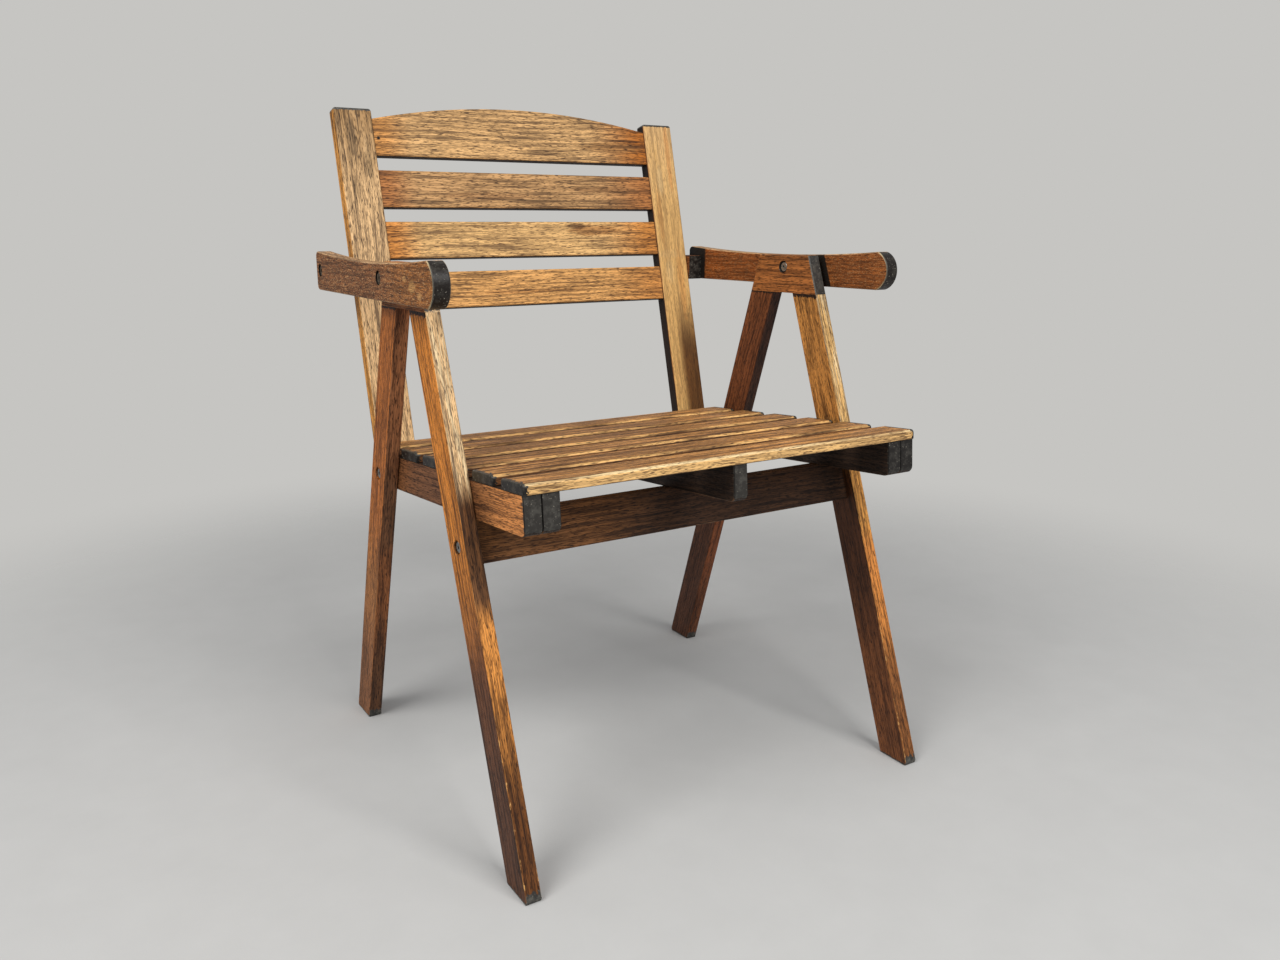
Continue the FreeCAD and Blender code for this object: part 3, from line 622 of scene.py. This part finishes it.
# %% Blocks and spacers
BLOCK_HOLE_RADIUS = 0.0078
BARE_LOW_EDGE = (BLOCK_UNDERSIDE + 0.005, BLOCK_UNDERSIDE + 0.004)
SMALL_PIECES = {  # wood and paint
    "leg_block": ("#976033", BLACK_PAINT),
    "arm_spacer": ("#6b4328", "#1a1714"),
}
for hand in HANDS:
    for piece, (tone, paint) in SMALL_PIECES.items():
        board = start_board(piece + hand, ARM_RUN, SIDEWAYS, tone)
        rub(board, "#b58a5c", 0.5)
        if piece == "leg_block":
            # Dirt and painted shade at the bottom of the bolt hole.
            cover(board, around(board, "arm_pivot_bolts", BLOCK_HOLE_RADIUS), "#3a2416")
        for outward in (FORWARD, -FORWARD):
            seal(board, looking(board, outward, 0.4, 0.5), paint, WORN_PAINT_DARK)
        if board.name == "leg_block_left":
            low_edge = past(board, *BARE_LOW_EDGE, 0.0015, "Z", board.chair_place)
            cover(board, both(board, low_edge, looking(board, FORWARD, 0.4, 0.5)), "#cdb18c")
        finish_board(board)
print("blocks and spacers dressed:", len(HANDS) * len(SMALL_PIECES))

# %% [markdown]
# The back looks forward and up, so sun has bleached it to gold. Beside the stiles, their shade
# kept the slats orange, further on the right than on the left. The near-black undersides are
# painted shade.
# A pin hole near the left end of the crest rail and some soft stains belong to this very chair.

# %% Crest rail and back slats
BACK_REAR_TONE = "#8f6a45"
SHADE_STARTS, LEFT_SHADE, RIGHT_SHADE = 0.02, 0.05, 0.1
BACK_TONES = {  # middle, left end and right end
    "crest_rail": ("#b39167", "#b5824a", "#90571f"), "back_slat_1": ("#a4825c", "#956338", "#956338"),
    "back_slat_2": ("#e4bc84", "#b57a3c", "#b57a3c"), "back_slat_3": ("#c2955f", "#ad7943", "#ad7943"),
}
BACK_STAINS = {  # along and across from the middle, length and width in mm, tone, strength
    "crest_rail": [(-204, -12.4, 2.4, 2.4, "#1a120c", 1.0), (150, -12, 55, 7, "#84603a", 0.7)],
    "back_slat_1": [(130, 4, 60, 5, "#6b4c30", 0.6), (-60, -8, 70, 5, "#7d5a3a", 0.5)],
    "back_slat_2": [(104, 12, 42, 8, "#84592f", 0.75), (75, 18, 14, 5, "#5f3d20", 0.6)],
    "back_slat_3": [(-20, -6, 90, 2.5, "#8d6136", 0.6)],
}
for name, (tone, left_tone, right_tone) in BACK_TONES.items():
    board = start_board(name, SIDEWAYS, BACK_FACE, tone)
    border = board.half[0] - SHADE_STARTS
    cover(board, past(board, border - RIGHT_SHADE, border), right_tone)
    cover(board, past(board, LEFT_SHADE - border, -border), left_tone)
    rub(board, "#d3a368", 0.4)
    # Near-black undersides: painted shade.
    cover(board, looking(board, -UP, 0.5, 0.8), "#2c1b10")
    cover(board, looking(board, -BACK_FACE, 0.5, 0.8), BACK_REAR_TONE)
    for stain in BACK_STAINS[name]:
        mark(board, *stain)
    finish_board(board)
print("boards across the back dressed:", len(BACK_TONES))

# %% [markdown]
# The two stiles aged apart. The left one is grey-brown with dark blotches and smudges near its
# top and has pale edges. The right one is a calm light gold with brown edges, a faint band across
# it at the third slat, and shade at its foot. Their inner sides are dark, and their tops are end
# grain, sealed over the rounded edge.

# %% Back stiles
BLOTCHES_ABOVE = (0.06, 0.3)
FOOT_SHADE_BELOW, FOOT_SHADE_ACROSS = (0.0, -0.12), (0.012, -0.002)
STILE_LOOKS = {  # face, blotches near the top, foot, edges, and how much contrast is taken out
    "_left": ("#bb9e7a", "#71542f", "#bb9e7a", "#cfa472", 0.0),
    "_right": ("#f6ca86", "#f2cb96", "#60401f", "#9a6532", 0.45),
}
STILE_STAINS = {  # along and across from the middle, length and width in mm, tone, strength
    "_left": [(196, 5, 26, 6, "#5d4c38", 0.6), (163, -13, 26, 5, "#66543c", 0.55),
              (128, 10, 18, 4, "#6f5b42", 0.5)],
    "_right": [(38, 0, 6, 30, "#e2bd86", 0.55), (190, -14, 60, 4, "#b67c42", 0.5),
               (96, 13, 44, 5, "#c08c50", 0.45), (-8, -11, 52, 6, "#c18a4c", 0.5),
               (150, 6, 22, 6, "#f6dcae", 0.4), (12, 8, 18, 7, "#f4d8a6", 0.4)],
}
for hand, inward in zip(HANDS, (SIDEWAYS, -SIDEWAYS)):
    tone, blotch_tone, foot_tone, edge_tone, calm = STILE_LOOKS[hand]
    board = start_board("back_stile" + hand, BACK_RUN, BACK_FACE, tone, calm)
    blotches = patches(board, 40, 12, 0.22, 0.5, detail=3.0, roughness=0.6)
    cover(board, both(board, past(board, *BLOTCHES_ABOVE), blotches), blotch_tone)
    foot_shade = both(board, past(board, *FOOT_SHADE_BELOW), past(board, *FOOT_SHADE_ACROSS, axis="Y"))
    cover(board, both(board, foot_shade, looking(board, BACK_FACE)), foot_tone)
    for stain in STILE_STAINS[hand]:
        mark(board, *stain)
    cover(board, looking(board, -inward, 0.5, 0.8), "#b9833f")
    cover(board, looking(board, inward, 0.5, 0.8), "#22160d")
    cover(board, looking(board, -BACK_FACE, 0.5, 0.8), BACK_REAR_TONE)
    rub(board, edge_tone, 0.5)
    seal(board, end_of(board, 1, reach=0.0035, ragged=0.0008))
    finish_board(board)
print("stiles dressed:", len(STILE_LOOKS))

# %% [markdown]
# The seat slats are worn by sitting: brown tops with long golden and dark streaks, and pale
# rubbed corners in front. The front slat's front edge, which faces the light, is a pale painted
# highlight, and the dark front edges of the slats behind it are painted shade in the gaps. Their
# undersides are the dark brown of the first oiling with painted shade. Their ends are sealed, and
# the paint wraps a few millimetres round the corners.

# %% Seat slats
SLATS = ["seat_slat_%d" % number for number in range(1, 7)]
FRONT_SLAT = min(SLATS, key=lambda name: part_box(name)[0][1])
SLAT_CORNER = (SEAT_UP - SEAT_RUN).normalized()
SLAT_PAINT = "#201d1a"
for name in SLATS:
    board = start_board(name, SIDEWAYS, SEAT_UP, "#997148")
    cover(board, patches(board, 260, 6, 0.50, 0.58, strength=0.9), "#c08d55")
    cover(board, patches(board, 320, 5, 0.47, 0.39, strength=0.9, detail=3.0), "#50351f")
    # Front edges: a painted highlight on the front slat, painted shade in the gaps on the others.
    edge_tone, corner_tone = ("#f2c88c", "#f6dfb4") if name == FRONT_SLAT else ("#5c3c22", "#dcb278")
    cover(board, looking(board, -SEAT_RUN, 0.4, 0.7), edge_tone)
    worn = add(board.tree, "MapRange", [board.clouds, 0.38, 0.56, 0.35, 1.0], interpolation_type=SOFT)
    cover(board, both(board, worn, looking(board, SLAT_CORNER, 0.86, 0.96)), corner_tone)
    cover(board, looking(board, SEAT_RUN, 0.4, 0.7), "#7a5532")
    # Undersides: the first oiling with painted shade.
    cover(board, looking(board, -SEAT_UP, 0.4, 0.7), HIDDEN_BROWN_AND_SHADE)
    for end in (1, -1):
        painted = end_of(board, end, reach=0.0045, ragged=0.0035)
        seal(board, painted, SLAT_PAINT, WORN_PAINT_DARK, edge_wear=0.35)
    finish_board(board)
print("seat slats dressed:", len(SLATS), "front one:", FRONT_SLAT)

# %% [markdown]
# The rails under the seat keep a dark brown, partly their own oil and partly painted shade of the
# seat. The outer sides of the outer rails get lighter tones where light reaches them, most of all in
# front of the legs: painted light. Their ends are sealed, blacker on the right, and the rounded
# edges of the ends are near black, painted shade in the gaps between the rails. The stretcher
# below them is dark brown too, partly painted shade, and paler on the left, a painted pool of
# light from the front left.

# %% Seat rails and stretcher
LIT_FRONT, LIT_LEFT = (-0.08, -0.16), (-0.02, -0.12)
RAILS = {  # which side light reaches, if any
    "outer_seat_rail_left": -SIDEWAYS, "inner_seat_rail_left": None, "centre_seat_rail": None,
    "inner_seat_rail_right": None, "outer_seat_rail_right": SIDEWAYS,
}
for name, lit_side in RAILS.items():
    # Dark brown base: the rails' own oil and painted shade of the seat.
    board = start_board(name, SEAT_RUN, SIDEWAYS, "#2d211a")
    if lit_side:
        # Lighter outer side, most of all in front of the legs: painted light.
        outer = looking(board, lit_side)
        cover(board, outer, "#6a462d")
        cover(board, both(board, outer, past(board, *LIT_FRONT)), "#b57946")
    rub(board, "#8a6038", 0.4)
    rail_paint, rail_paint_worn = ("#24211e", "#3f3c37") if "right" in name else ("#35322e", "#4d4a44")
    for end in (1, -1):
        painted = end_of(board, end, reach=0.002, ragged=0.001)
        seal(board, painted, rail_paint, rail_paint_worn, edge_wear=0.0)
        # Near black on the rounded edges of the painted ends: painted shade in the gaps between the rails.
        cover(board, both(board, painted, rounded_edge(board)), "#15120f", plain=True)
    finish_board(board)

# Dark brown base: the stretcher's own oil and painted shade of the seat.
board = start_board("front_stretcher", SIDEWAYS, FRONT_LEG_FACE, "#3d281a")
# Paler on the left: a painted pool of light from the front left.
cover(board, past(board, *LIT_LEFT), "#6f4a2b")
rub(board, "#8a6544", 0.4)
finish_board(board)
print("rails dressed:", len(RAILS), "and one stretcher")

# %% [markdown]
# The bolts and sleeve nuts are zinc-plated steel that has gone dull outdoors: grey, a little
# rough, with darker stains about 3 mm wide. A metal keeps the default IOR, and its colour goes on
# the base colour. The bolts in the arms are browned by the same hands that darkened the wood.

# %% Zinc-plated steel
STAIN_SIZE = 0.003
material, tree, shader = new_material("dull zinc-plated steel")
place = add(tree, "TexCoord", out="Object")
stains = add(tree, "TexNoise", {"Vector": place, "Scale": 1 / STAIN_SIZE, "Detail": 3.0})
stained = add(tree, "MapRange", [stains, 0.45, 0.7], interpolation_type=SOFT)
colour = add(tree, "Mix", {0: stained, 6: linear("#a9a8a3"), 7: linear("#55504a")}, out=2, data_type="RGBA")
tree.links.new(colour, shader.inputs["Base Color"])
tree.links.new(add(tree, "MapRange", [stains, 0.3, 0.7, 0.32, 0.6]), shader.inputs["Roughness"])
scuffs = add(tree, "Bump", {"Height": stains, "Strength": 0.2, "Distance": 0.0002})
tree.links.new(scuffs, shader.inputs["Normal"])
shader.inputs["Metallic"].default_value = 1.0

browned = material.copy()
browned.name = "dull zinc-plated steel browned by hands"
two_tones = next(node for node in browned.node_tree.nodes if node.bl_idname == "ShaderNodeMix")
two_tones.inputs[6].default_value, two_tones.inputs[7].default_value = linear("#8d7a62"), linear("#3a2c1e")

fasteners = [name for name in nodes if any(word in name for word in ("bolt", "nut", "washer", "dowel"))]
for name in fasteners:
    nodes[name].data.materials.clear()
    nodes[name].data.materials.append(browned if "arm_" in name and "bolt" in name else material)
print("steel pieces:", sorted(fasteners))
